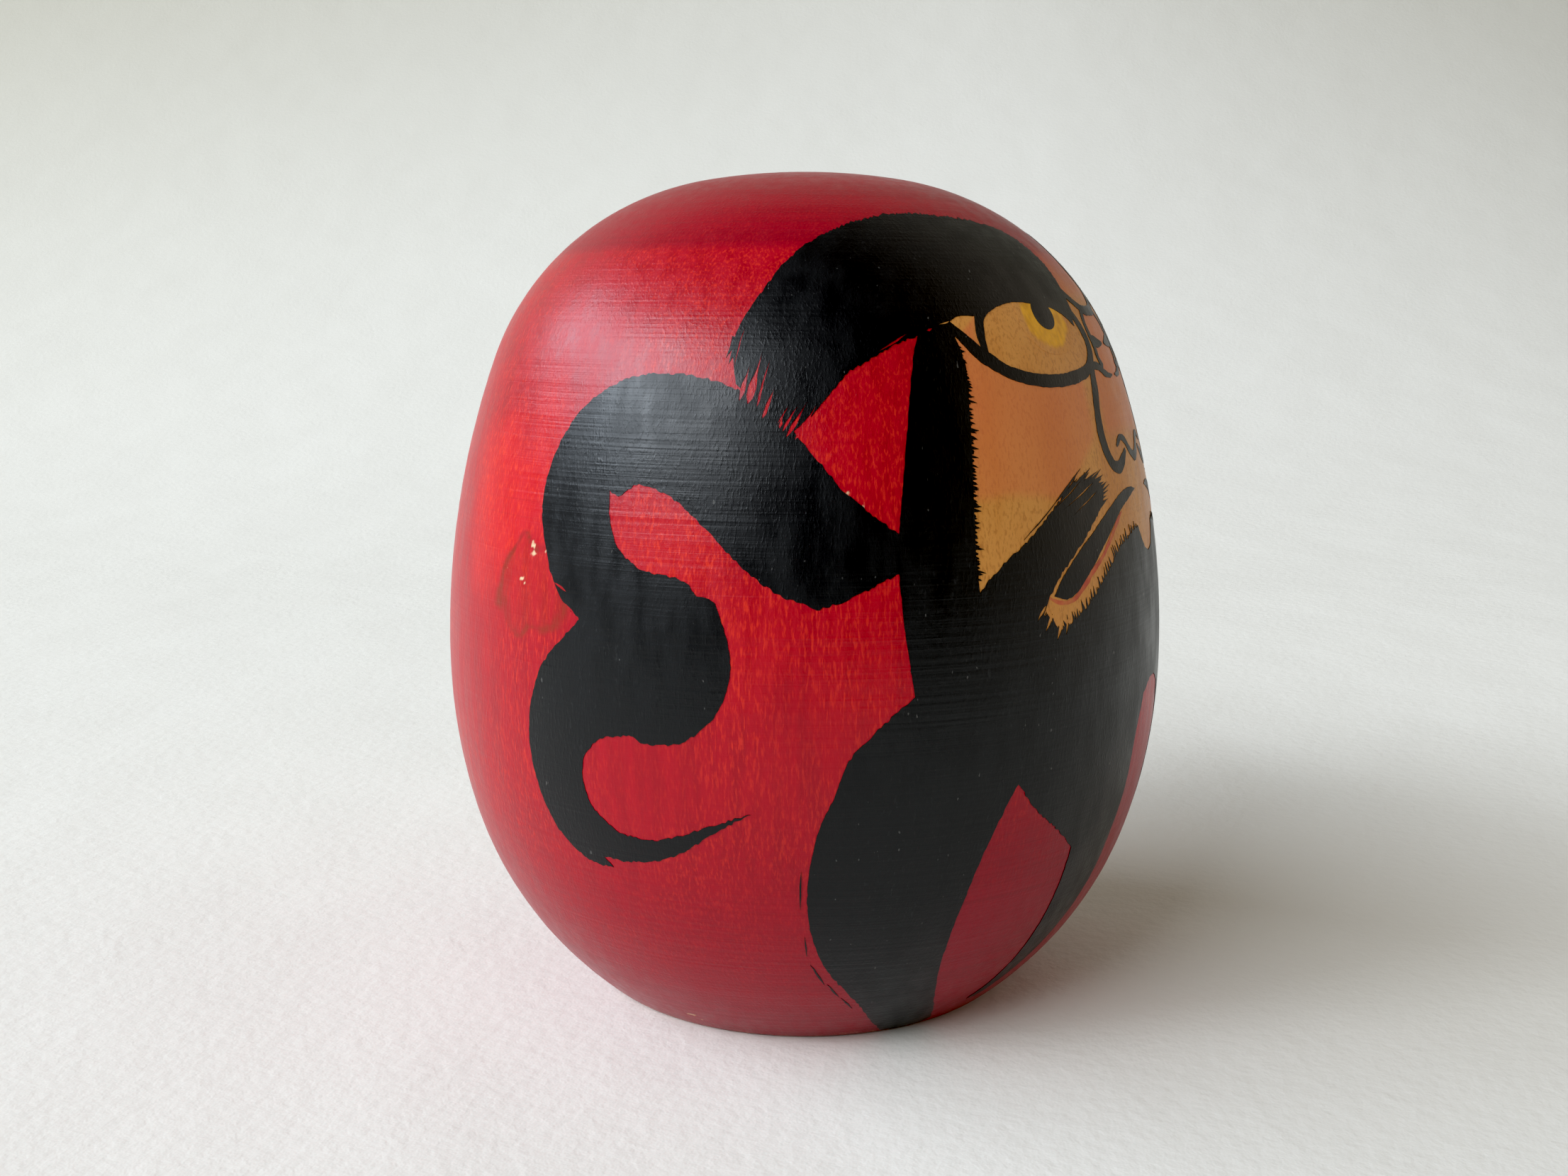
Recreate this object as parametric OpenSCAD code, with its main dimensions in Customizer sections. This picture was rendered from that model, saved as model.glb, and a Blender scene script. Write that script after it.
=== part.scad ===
// Daruma doll, turned in wood.
//
// The doll is one turned block with a flat foot. It is bored from below, so that a
// block this thick can dry without splitting, and a turned plug closes the bore.
// Units are millimetres. +Z is up, -Y is the front, and the origin is the middle of
// the foot. The outline is a chain of tangent arcs, named from the top down. Each
// arc ends where the outward normal has turned by a given angle from straight up.

/* [Size] */
// Height of the doll
height = 101; // [97:0.5:108]
// Widest diameter of the body
width = 90; // [87:0.5:94]

/* [Outline] */
// Radius of the flat crown on top
crown_radius = 75; // [60:1:90]
// Angle at which the crown meets the shoulder
crown_angle = 10; // [8:0.5:14]
// Angle at which the shoulder meets the flank
shoulder_angle = 70; // [66:0.5:74]
// Radius of the flank, from the shoulder down to the widest ring
flank_radius = 106; // [90:1:120]
// Radius of the belly, just below the widest ring
belly_radius = 70; // [60:1:80]
// Angle at which the belly meets the lower curve
belly_angle = 105; // [100:0.5:110]
// Radius of the lower curve, from the belly down to the foot
lower_radius = 46.5; // [45:0.5:52]
// Rounding of the edge between the lower curve and the foot
foot_edge_radius = 1.2; // [0.6:0.1:2]

/* [Bore and plug] */
// Diameter of the bore that relieves the block
bore_diameter = 34; // [24:1:36]
// Height of the domed end of the bore above the foot
bore_top = 68; // [50:1:72]
// Diameter of the plug and of its seat
plug_diameter = 42; // [38:1:44]
// Thickness of the plug and depth of its seat
plug_thickness = 9; // [6:0.5:14]
// Chamfer around the lower edge of the plug
plug_chamfer = 0.6; // [0.3:0.1:1]

/* [Hidden] */
$fn = 128;

body_color = [0.78, 0.08, 0.10];
plug_color = [0.80, 0.64, 0.44];

// Outward unit vector, as [radius, height], of a normal turned by an angle from straight up
function outward(angle) = [sin(angle), cos(angle)];

// The centre of each arc lies one radius inwards of the point where the arc starts
function arc_center(start, radius, angle) = start - radius * outward(angle);

// Tangent arcs from the top of the crown down to the belly
top_point = [0, height];
crown_center = arc_center(top_point, crown_radius, 0);
crown_end = crown_center + crown_radius * outward(crown_angle);

// The shoulder takes the radius that brings the flank out to the full width
crown_reach = crown_radius * sin(crown_angle);
flank_reach = flank_radius * (1 - sin(shoulder_angle));
shoulder_radius = (width / 2 - crown_reach - flank_reach) / (sin(shoulder_angle) - sin(crown_angle));
shoulder_center = arc_center(crown_end, shoulder_radius, crown_angle);
shoulder_end = shoulder_center + shoulder_radius * outward(shoulder_angle);

flank_center = arc_center(shoulder_end, flank_radius, shoulder_angle);
flank_end = flank_center + flank_radius * outward(90);

belly_center = arc_center(flank_end, belly_radius, 90);
belly_end = belly_center + belly_radius * outward(belly_angle);

// The lower curve runs on until the rounded edge can reach the ground
lower_center = arc_center(belly_end, lower_radius, belly_angle);
lower_angle = acos((foot_edge_radius - lower_center[1]) / (lower_radius - foot_edge_radius));
lower_end = lower_center + lower_radius * outward(lower_angle);

edge_center = arc_center(lower_end, foot_edge_radius, lower_angle);

// How far the cutting shapes run past the faces that they cut
overcut = 1;

// The most that the normal turns from one point of an arc to the next
arc_step = 2;

// Points along an arc, after its start and up to its end
function arc_points(center, radius, start_angle, end_angle) =
    let (steps = ceil((end_angle - start_angle) / arc_step))
    [
        for (i = [1 : steps])
            center + radius * outward(start_angle + (end_angle - start_angle) * i / steps)
    ];

// The half outline of the block, from the top down to the edge of the foot
outline = concat(
    [top_point],
    arc_points(crown_center, crown_radius, 0, crown_angle),
    arc_points(shoulder_center, shoulder_radius, crown_angle, shoulder_angle),
    arc_points(flank_center, flank_radius, shoulder_angle, 90),
    arc_points(belly_center, belly_radius, 90, belly_angle),
    arc_points(lower_center, lower_radius, belly_angle, lower_angle),
    arc_points(edge_center, foot_edge_radius, lower_angle, 180)
);

// The bore: a seat for the plug, and above it a narrower hole with a domed end
module bore() {
    dome_radius = bore_diameter / 2;
    translate([0, 0, -overcut])
        cylinder(d = plug_diameter, h = plug_thickness + overcut);
    cylinder(d = bore_diameter, h = bore_top - dome_radius);
    translate([0, 0, bore_top - dome_radius])
        sphere(r = dome_radius);
}

// The turned block, dyed red and painted
module body() {
    color(body_color)
        difference() {
            rotate_extrude()
                polygon(concat([[0, 0]], outline));
            bore();
        }
}

// The turned disc that closes the bore and sits flush with the foot
module base_plug() {
    color(plug_color)
        union() {
            cylinder(d1 = plug_diameter - 2 * plug_chamfer, d2 = plug_diameter, h = plug_chamfer);
            translate([0, 0, plug_chamfer])
                cylinder(d = plug_diameter, h = plug_thickness - plug_chamfer);
        }
}

body();
base_plug();
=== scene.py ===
"""Daruma doll, turned in wood, dyed red and painted with black ink.

Lengths in this file are millimetres and angles are degrees, unless a name says
otherwise. The front is -Y. A place on the painted surface is given as (u, z): u is
the angle from the middle line of the face, positive towards -X, and z is the height.
"""

import math

import bpy
import numpy as np
from mathutils import Matrix, Vector
from mathutils.geometry import delaunay_2d_cdt


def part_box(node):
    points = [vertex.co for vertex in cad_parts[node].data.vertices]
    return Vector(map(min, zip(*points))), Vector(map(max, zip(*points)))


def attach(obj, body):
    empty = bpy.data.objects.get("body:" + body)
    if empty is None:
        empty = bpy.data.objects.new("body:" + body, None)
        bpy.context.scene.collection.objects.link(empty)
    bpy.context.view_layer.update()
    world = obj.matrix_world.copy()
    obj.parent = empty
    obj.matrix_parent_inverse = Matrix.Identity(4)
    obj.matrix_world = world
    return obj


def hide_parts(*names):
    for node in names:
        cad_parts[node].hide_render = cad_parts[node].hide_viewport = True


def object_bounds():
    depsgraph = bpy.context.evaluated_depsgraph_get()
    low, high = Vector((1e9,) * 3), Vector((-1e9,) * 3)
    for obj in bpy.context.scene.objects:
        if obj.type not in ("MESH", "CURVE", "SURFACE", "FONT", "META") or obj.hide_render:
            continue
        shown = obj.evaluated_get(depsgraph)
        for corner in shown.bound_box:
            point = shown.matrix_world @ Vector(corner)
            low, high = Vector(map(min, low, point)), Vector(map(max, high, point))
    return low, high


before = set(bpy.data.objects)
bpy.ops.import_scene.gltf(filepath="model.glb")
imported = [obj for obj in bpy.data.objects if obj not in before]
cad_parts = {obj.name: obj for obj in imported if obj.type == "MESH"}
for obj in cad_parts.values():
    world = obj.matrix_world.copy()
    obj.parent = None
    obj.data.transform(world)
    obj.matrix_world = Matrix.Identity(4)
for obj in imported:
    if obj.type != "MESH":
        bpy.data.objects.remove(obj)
cad_box = [list(corner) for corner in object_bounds()]

MM = 0.001
ROOT = "root"


# ---------------- the outline

# The overall sizes come from the frame, and the arcs are those of part.scad
PLUG_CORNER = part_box("base_plug")[1]
HEIGHT = round(cad_box[1][2] / MM, 1)
WIDTH = round((cad_box[1][0] - cad_box[0][0]) / MM, 1)
CROWN_RADIUS, CROWN_ANGLE = 75.0, 10.0
SHOULDER_ANGLE = 70.0
FLANK_RADIUS = 106.0
BELLY_RADIUS, BELLY_ANGLE = 70.0, 105.0
LOWER_RADIUS = 46.5
EDGE_RADIUS = 1.2
SEAT_RADIUS, SEAT_DEPTH = round(PLUG_CORNER[0] / MM, 1), round(PLUG_CORNER[2] / MM, 1)
BORE_RADIUS, BORE_TOP = 17.0, 68.0


def sind(angle):
    return math.sin(math.radians(angle))


def cosd(angle):
    return math.cos(math.radians(angle))


def outline_arcs():
    """The arcs of the half outline, each as (centre r, centre z, radius, first and last angle)."""
    crown = (0.0, HEIGHT - CROWN_RADIUS, CROWN_RADIUS, 0.0, CROWN_ANGLE)
    reach = WIDTH / 2 - CROWN_RADIUS * sind(CROWN_ANGLE) - FLANK_RADIUS * (1 - sind(SHOULDER_ANGLE))
    shoulder_radius = reach / (sind(SHOULDER_ANGLE) - sind(CROWN_ANGLE))
    arcs = [crown]
    turns = (
        (shoulder_radius, SHOULDER_ANGLE),
        (FLANK_RADIUS, 90.0),
        (BELLY_RADIUS, BELLY_ANGLE),
        (LOWER_RADIUS, None),
        (EDGE_RADIUS, 180.0),
    )
    for radius, last in turns:
        r, z, old, _, first = arcs[-1]
        centre_r = r + (old - radius) * sind(first)
        centre_z = z + (old - radius) * cosd(first)
        if last is None:
            last = math.degrees(math.acos((EDGE_RADIUS - centre_z) / (radius - EDGE_RADIUS)))
        arcs.append((centre_r, centre_z, radius, first, last))
    return arcs


def outline_samples(step=0.25):
    """Dense samples of the outline, from the top down: radius, height, angle of the normal."""
    rows = [(0.0, HEIGHT, 0.0)]
    for r, z, radius, first, last in outline_arcs():
        count = max(2, math.ceil((last - first) / step))
        for i in range(1, count + 1):
            angle = first + (last - first) * i / count
            rows.append((r + radius * sind(angle), z + radius * cosd(angle), angle))
    return np.array(rows)


OUTLINE = outline_samples()
OUTLINE_R = OUTLINE[::-1, 0]
OUTLINE_Z = OUTLINE[::-1, 1]
OUTLINE_A = OUTLINE[::-1, 2]


def turned_points(r, u, z):
    """Points at radius r and height z, turned by u from the front."""
    angle = np.radians(u)
    return np.stack([-r * np.sin(angle), -r * np.cos(angle), z], -1)


def surface(u, z, lift):
    """Points in metres on the painted surface, moved outwards by lift."""
    r = np.interp(z, OUTLINE_Z, OUTLINE_R)
    tilt = np.radians(np.interp(z, OUTLINE_Z, OUTLINE_A))
    return turned_points(r + lift * np.sin(tilt), u, z + lift * np.cos(tilt)) * MM


# ---------------- small helpers

def smooth_step(low, high, value):
    t = np.clip((value - low) / (high - low), 0.0, 1.0)
    return t * t * (3 - 2 * t)


def hashed(index, seed):
    """Repeatable numbers from 0 to 1, one for each whole number in index."""
    value = np.sin(np.asarray(index, float) * 127.1 + seed * 311.7) * 43758.5453
    return value - np.floor(value)


def ripple(x, seed):
    """Smooth one-dimensional noise from -1 to 1, with one turn for each unit of x."""
    x = np.asarray(x, float)
    base = np.floor(x)
    t = smooth_step(0.0, 1.0, x - base)
    return (hashed(base, seed) * (1 - t) + hashed(base + 1, seed) * t) * 2 - 1


def ripple_2d(x, y, seed):
    """Smooth two-dimensional noise from -1 to 1."""
    x, y = np.broadcast_arrays(np.asarray(x, float), np.asarray(y, float))
    bx, by = np.floor(x), np.floor(y)
    tx, ty = smooth_step(0.0, 1.0, x - bx), smooth_step(0.0, 1.0, y - by)

    def corner(dx, dy):
        return hashed(bx + dx + 57.0 * (by + dy), seed)

    low = corner(0, 0) * (1 - tx) + corner(1, 0) * tx
    high = corner(0, 1) * (1 - tx) + corner(1, 1) * tx
    return (low * (1 - ty) + high * ty) * 2 - 1


def link(obj):
    bpy.context.scene.collection.objects.link(obj)
    return obj


def mesh_object(name, points, faces, material):
    """A smooth-shaded mesh object that rides on the body."""
    mesh = bpy.data.meshes.new(name)
    mesh.from_pydata([tuple(p) for p in points], [], faces)
    mesh.polygons.foreach_set("use_smooth", [True] * len(mesh.polygons))
    mesh.materials.append(material)
    obj = link(bpy.data.objects.new(name, mesh))
    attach(obj, ROOT)
    return obj


def turned_faces(rows, columns):
    """Faces of a closed turned shape: its first point, its rows of points, and its last point."""
    faces = [(0, 1 + j, 1 + (j + 1) % columns) for j in range(columns)]
    for i in range(rows - 1):
        a = 1 + i * columns
        b = a + columns
        for j in range(columns):
            k = (j + 1) % columns
            faces.append((a + j, b + j, b + k, a + k))
    a = 1 + (rows - 1) * columns
    last = a + columns
    faces += [(a + j, last, a + (j + 1) % columns) for j in range(columns)]
    return faces


def store(mesh, name, values):
    """Keeps one number for each point of a mesh, for its material to read."""
    layer = mesh.attributes.new(name, "FLOAT", "POINT")
    layer.data.foreach_set("value", np.asarray(values, np.float32))


# ---------------- materials

class Nodes:
    """A small helper that adds nodes to one material."""

    def __init__(self, name):
        self.material = bpy.data.materials.new(name)
        self.material.use_nodes = True
        self.tree = self.material.node_tree
        self.shader = self.tree.nodes["Principled BSDF"]

    def put(self, socket, value):
        if isinstance(value, bpy.types.NodeSocket):
            self.tree.links.new(value, socket)
        elif hasattr(socket.default_value, "__len__") and len(socket.default_value) == 4:
            socket.default_value = tuple(value) + (1.0,) * (4 - len(value))
        else:
            socket.default_value = value

    def add(self, kind, *values, **settings):
        node = self.tree.nodes.new("ShaderNode" + kind)
        for key, value in settings.items():
            setattr(node, key, value)
        for i, value in enumerate(values):
            if value is not None:
                self.put(node.inputs[i], value)
        return node

    def math(self, operation, *values):
        return self.add("Math", *values, operation=operation).outputs[0]

    def times(self, a, b):
        return self.math("MULTIPLY", a, b)

    def range(self, value, low, high, to_low=0.0, to_high=1.0):
        node = self.add("MapRange", value, low, high, to_low, to_high, interpolation_type="SMOOTHSTEP")
        return node.outputs[0]

    def mix(self, factor, a, b):
        """A colour mix. A Mix node's colour sockets come after those for numbers and vectors."""
        node = self.add("Mix", data_type="RGBA")
        self.put(node.inputs[0], factor)
        self.put(node.inputs[6], a)
        self.put(node.inputs[7], b)
        return node.outputs[2]

    def place(self, x, y, z):
        """The point on the object, scaled: each number is how many noise cells fit in a metre."""
        coordinates = self.add("TexCoord").outputs["Object"]
        return self.add("VectorMath", coordinates, (x, y, z), operation="MULTIPLY").outputs[0]

    def noise(self, x, y, z, detail=2.0, roughness=0.5):
        node = self.add("TexNoise", noise_dimensions="3D")
        self.put(node.inputs["Vector"], self.place(x, y, z))
        node.inputs["Scale"].default_value = 1.0
        node.inputs["Detail"].default_value = detail
        node.inputs["Roughness"].default_value = roughness
        return node.outputs[0]

    def attribute(self, name):
        return self.add("Attribute", attribute_name=name).outputs["Fac"]

    def set(self, **values):
        for key, value in values.items():
            self.put(self.shader.inputs[key.replace("_", " ")], value)


def add_bump(n, height, strength, distance):
    bump = n.add("Bump")
    bump.inputs["Strength"].default_value = strength
    bump.inputs["Distance"].default_value = distance
    n.put(bump.inputs["Height"], height)
    n.put(n.shader.inputs["Normal"], bump.outputs[0])


def add_grain(n):
    """The raised grain of turned wood: short upright ridges, and fine lines round the block."""
    ridge_share, line_share, broad_share = 0.65, 1.8, 0.4
    ridges = n.range(n.noise(3400, 3400, 1000, roughness=0.6), 0.42, 0.78)
    lines = n.noise(28, 28, 2000, roughness=0.6)
    broad = n.noise(420, 420, 120)
    height = n.math("MULTIPLY_ADD", lines, line_share, n.times(ridges, ridge_share))
    add_bump(n, n.math("MULTIPLY_ADD", broad, broad_share, height), 0.55, 0.00004)


# The dye, the ink and the wax over them bend light by this much
WAX_IOR = 1.42

RED = (0.405, 0.0035, 0.014)
RED_THIN = (0.680, 0.012, 0.017)
RED_BRIGHT = (0.700, 0.036, 0.018)
RED_DARK = (0.310, 0.003, 0.012)
CRIMSON = (0.262, 0.002, 0.014)
CRIMSON_DARK = (0.195, 0.003, 0.012)
TAN = (0.580, 0.228, 0.044)
TAN_LIGHT = (0.650, 0.290, 0.070)
TAN_DARK = (0.380, 0.130, 0.026)
BLUSH = (0.680, 0.165, 0.062)
CREAM = (0.760, 0.560, 0.330)
RUST = (0.280, 0.022, 0.012)
INK = (0.0056, 0.0056, 0.0062)
# Worn ink, also used as painted sheen on the raised grain
INK_WORN_AND_SHEEN = (0.026, 0.026, 0.027)
INK_DUST = (0.300, 0.290, 0.270)
OCHRE, OCHRE_DARK = (0.860, 0.420, 0.014), (0.660, 0.290, 0.010)
LIP_RED, LIP_RED_DARK = (0.560, 0.060, 0.035), (0.420, 0.028, 0.022)
END_GRAIN, END_GRAIN_RING, END_GRAIN_PORE = (0.66, 0.44, 0.22), (0.44, 0.25, 0.10), (0.26, 0.14, 0.06)
# The paper, its lighter tone, and its painted shade far up and to the sides
PAPER, PAPER_LIGHT, PAPER_FAR_SHADE = (0.825, 0.795, 0.735), (0.865, 0.835, 0.775), (0.475, 0.445, 0.360)


def bare_wood_color(n):
    """Tan wood with short, dark upright flecks and soft growth bands."""
    flecks = n.range(n.noise(3800, 3800, 1300), 0.50, 0.66)
    pale = n.range(n.noise(2100, 2100, 600), 0.52, 0.70)
    bands = n.range(n.noise(170, 170, 24, detail=3.0), 0.35, 0.65)
    color = n.mix(bands, TAN, TAN_LIGHT)
    color = n.mix(n.times(pale, 0.35), color, TAN_LIGHT)
    return n.mix(n.times(flecks, 0.50), color, TAN_DARK)


def dyed_wood_material():
    n = Nodes("dyed_wood")
    # Upright streaks where the wood took more or less dye
    streaks = n.noise(700, 700, 60, detail=3.0, roughness=0.6)
    flecks = n.range(n.noise(3600, 3600, 720, roughness=0.6), 0.46, 0.72)
    clouds = n.noise(48, 48, 40, detail=3.0, roughness=0.55)
    lines = n.noise(24, 24, 1500, roughness=0.7)
    red = n.mix(n.range(streaks, 0.34, 0.62, 0.35, 1.0), RED_DARK, RED)
    red = n.mix(n.times(n.attribute("thin"), 0.6), red, RED_THIN)
    light = n.math("MULTIPLY_ADD", n.attribute("thin"), 0.55, n.range(clouds, 0.38, 0.64, 0.20, 0.62))
    red = n.mix(n.times(flecks, light), red, RED_BRIGHT)
    red = n.mix(n.range(lines, 0.56, 0.80, 0.0, 0.22), red, RED_DARK)
    crimson = n.mix(n.range(lines, 0.40, 0.66, 0.0, 0.6), CRIMSON, CRIMSON_DARK)
    crimson = n.mix(n.times(flecks, 0.25), crimson, RED)
    # Deeper dye above the ring, and painted shade towards the foot and low on the front
    red = n.mix(n.attribute("deep"), red, crimson)
    red = n.mix(n.attribute("rust"), red, n.mix(n.range(streaks, 0.40, 0.75), RUST, RED))
    wood = bare_wood_color(n)
    blush = n.times(n.attribute("blush"), n.range(clouds, 0.2, 0.8, 0.75, 1.0))
    wood = n.mix(blush, wood, n.mix(0.80, wood, BLUSH))
    color = n.mix(n.attribute("bare"), red, wood)
    grit = n.math("MULTIPLY_ADD", flecks, 0.35, n.attribute("worn"))
    worn = n.times(n.attribute("worn"), n.range(grit, 0.35, 0.75))
    color = n.mix(worn, color, CREAM)
    n.set(Base_Color=color)
    rough = n.range(streaks, 0.3, 0.7, 0.31, 0.39)
    n.set(Roughness=n.math("MULTIPLY_ADD", worn, 0.25, rough))
    n.set(IOR=WAX_IOR)
    add_grain(n)
    return n.material


def ink_material():
    n = Nodes("black_ink")
    # Lighter specks where the ink is worn thin, and painted sheen where raised grain catches the light
    specks = n.range(n.noise(2600, 2600, 900, detail=2.5, roughness=0.65), 0.58, 0.76)
    thin = n.range(n.noise(90, 90, 60, detail=3.0), 0.45, 0.75, 0.15, 0.8)
    color = n.mix(n.times(specks, thin), INK, INK_WORN_AND_SHEEN)
    dust = n.range(n.noise(1900, 1900, 1100, detail=1.0), 0.765, 0.80, 0.0, 0.22)
    n.set(Base_Color=n.mix(dust, color, INK_DUST))
    n.set(Roughness=n.range(n.noise(420, 420, 160), 0.3, 0.7, 0.30, 0.42))
    n.set(IOR=WAX_IOR)
    add_grain(n)
    return n.material


def paint_material(name, color_light, color_dark, share):
    """Thin colour brushed over bare wood. The attribute "paint" says how thick it is."""
    n = Nodes(name)
    wood = bare_wood_color(n)
    tone = n.mix(n.range(n.noise(1100, 1100, 330), 0.35, 0.7), color_light, color_dark)
    n.set(Base_Color=n.mix(n.times(n.attribute("paint"), share), wood, tone))
    n.set(Roughness=n.range(n.noise(420, 420, 160), 0.3, 0.7, 0.42, 0.52))
    add_grain(n)
    return n.material


def end_grain_material():
    """Bare turned wood seen on the end grain: growth rings round an off-centre heart."""
    n = Nodes("bare_wood")
    coordinates = n.add("TexCoord").outputs["Object"]
    heart = (0.009, -0.006, 0.0)
    ring_density = 2900.0
    offset = n.add("VectorMath", coordinates, heart, operation="SUBTRACT").outputs[0]
    flat = n.add("VectorMath", offset, (1.0, 1.0, 0.15), operation="MULTIPLY").outputs[0]
    far = n.add("VectorMath", flat, operation="LENGTH").outputs["Value"]
    wobble = n.noise(90, 90, 30)
    rings = n.math("SINE", n.math("MULTIPLY_ADD", wobble, 9.0, n.times(far, ring_density)))
    pores = n.range(n.noise(2300, 2300, 500), 0.56, 0.70)
    color = n.mix(n.range(rings, -0.4, 1.0, 0.0, 0.38), END_GRAIN, END_GRAIN_RING)
    color = n.mix(n.times(pores, 0.5), color, END_GRAIN_PORE)
    n.set(Base_Color=color)
    n.set(Roughness=n.range(wobble, 0.3, 0.7, 0.55, 0.68))
    add_bump(n, n.math("MULTIPLY_ADD", pores, -0.6, rings), 0.35, 0.00006)
    return n.material


# ---------------- the turned block

# Where the undyed face is, under the edges of the ink
FACE_HALF_WIDTH = 45.2
FACE_BOTTOM, FACE_TOP = 48.5, 88.6
# The dye turns deeper above this height
RING_HEIGHT = 91.0

# Chips and scuffs in the dye: (u, z, half width in degrees, half height, depth)
CHIPS = (
    (109.3, 59.3, 0.50, 0.50, 0.08),
    (109.0, 58.4, 0.62, 0.42, 0.10),
    (106.6, 58.9, 0.30, 0.26, 0.05),
    (114.8, 56.4, 0.24, 0.34, 0.05),
    (112.0, 56.0, 0.42, 0.14, 0.04),
    (111.2, 55.5, 0.50, 0.14, 0.04),
    (110.5, 54.9, 0.26, 0.20, 0.04),
    (60.8, 66.2, 0.24, 0.60, 0.02),
    (58.9, 64.6, 0.20, 0.45, 0.02),
    (88.8, 24.9, 0.45, 0.14, 0.03),
    (92.4, 2.7, 1.60, 0.22, 0.06),
    (90.4, 1.8, 0.80, 0.16, 0.05),
    (95.2, 2.1, 0.70, 0.16, 0.05),
    (94.0, 1.2, 1.10, 0.14, 0.05),
)


def face_mask(u, z):
    """How bare the wood is: 1 on the face, 0 where the red dye is."""
    side = 1 - smooth_step(FACE_HALF_WIDTH - 0.6, FACE_HALF_WIDTH + 0.6, np.abs(u))
    below = smooth_step(FACE_BOTTOM - 0.5, FACE_BOTTOM + 0.5, z)
    middle = 1 - smooth_step(6.0, 10.0, np.abs(u))
    top = FACE_TOP + 0.6 * middle
    fade = 0.6 + 3.4 * middle
    above = 1 - smooth_step(top - fade, top + fade, z + 0.8 * ripple(u * 0.9, 3))
    return side * below * above


def dye_depth_and_shade(u, z):
    """How deep the dye is above a turned ring, with painted shade towards the foot and low on the front.
    """
    ring = smooth_step(RING_HEIGHT - 0.5, RING_HEIGHT + 0.5, z + 0.15 * ripple(u * 0.3, 12))
    # Painted shade: darker towards the foot and low on the front, where the lower body faces the floor
    foot = 0.85 * (1 - smooth_step(2.0, 42.0, z + 2.0 * ripple_2d(u * 0.05, z * 0.1, 13)))
    front = 0.55 * (1 - smooth_step(42.0, 56.0, np.abs(u))) * (1 - smooth_step(26.0, 42.0, z))
    return np.maximum(0.7 * ring, np.minimum(1.0, foot + front))


def thin_dye(u, z):
    """Places on the flank where the dye is thin, and the pale grain shows through."""
    # Each spot is (u, z, half width in degrees, half height, strength)
    spots = (
        (117, 63, 13, 14, 1.0),
        (86, 60, 10, 6, 0.55),
        (77, 51, 13, 8, 0.30),
        (62, 71, 10, 8, 0.30),
        (60, 50, 10, 12, 0.25),
    )
    total = np.zeros_like(u)
    wave = 0.3 * ripple_2d(u * 0.2, z * 0.2, 14)
    for spot_u, spot_z, half_u, half_z, strength in spots:
        reach = np.hypot((np.abs(u) - spot_u) / half_u, (z - spot_z) / half_z)
        total = np.maximum(total, strength * (1 - smooth_step(0.2, 1.3, reach + wave)))
    return total


def blush_mask(u, z):
    """Pink on the cheeks, the nose and the forehead of the bare face."""
    u = np.abs(u)
    lower = 65.0 + 0.5 * ripple(u * 0.22, 11) + 5.2 * smooth_step(27.0, 15.0, u)
    cheek = smooth_step(lower - 0.7, lower + 0.9, z) * smooth_step(14.2, 17.0, u + 0.10 * (z - 70))
    cheek *= 1 - 0.45 * smooth_step(77.0, 81.0, z) * smooth_step(34.0, 28.0, u)
    cheek *= 0.72 + 0.28 * smooth_step(66.0, 76.0, z)
    nose = (1 - smooth_step(9.5, 12.5, u)) * smooth_step(69.5, 72.0, z) * (1 - smooth_step(77.5, 78.5, z))
    brow = (1 - smooth_step(4.6, 6.4, u)) * smooth_step(76.5, 77.5, z) * (1 - smooth_step(84.0, 85.0, z))
    forehead = (1 - smooth_step(8.0, 10.0, u)) * smooth_step(85.0, 87.0, z)
    cheek *= smooth_step(0.94, 1.06, np.hypot((u - 23.0) / 15.0, (z - 81.6) / 4.9))
    cheek *= smooth_step(-0.3, 0.3, 0.5 * (44.0 - u) + 80.4 - z)
    return np.clip(cheek * 0.9 + nose * 0.8 + brow * 0.95 + forehead * 0.8, 0, 1)


def chip_masks(u, z):
    """How worn the dye is, and how deep the wood is chipped, at each point."""
    worn = np.zeros_like(u)
    depth = np.zeros_like(u)
    for i, (cu, cz, half_u, half_z, deep) in enumerate(CHIPS):
        du, dz = (u - cu) / half_u, (z - cz) / half_z
        edge = 1 + 0.35 * ripple_2d(u * 3.1, z * 2.7, 20 + i)
        inside = 1 - smooth_step(0.5 * edge, 1.2 * edge, np.hypot(du, dz))
        worn = np.maximum(worn, inside)
        depth = np.maximum(depth, deep * inside)
    return worn, depth


def rust_mask(u, z):
    """A darker rubbed patch on one flank, with a rim."""
    middle_u, middle_z, half_u, half_z = 109.0, 54.8, 7.8, 5.4
    reach = np.hypot((u - middle_u) / half_u, (z - middle_z) / half_z)
    reach = reach + 0.20 * ripple_2d(u * 0.35, z * 0.4, 31)
    inside = 1 - smooth_step(0.85, 1.05, reach)
    rim = smooth_step(0.84, 0.94, reach) * (1 - smooth_step(0.96, 1.08, reach))
    return np.clip(0.30 * inside + rim, 0, 1)


def column_angles():
    """Angles round the block, closer together on the face and beside the chips."""
    fine_step, coarse_step = 0.5, 1.25
    angles = [-180.0]
    while angles[-1] < 180.0:
        u = angles[-1]
        fine = abs(u) < 46.0 or 57.5 < u < 62.0 or 103.5 < u < 117.0
        angles.append(u + (fine_step if fine else coarse_step))
    return np.array(angles[:-1])


def row_step(z):
    """How far apart the rows are at this height: close on the face, closest at the foot."""
    if 49.0 < z < 93.0:
        return 0.42
    return 0.95 if z > 4.0 else 0.3


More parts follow.
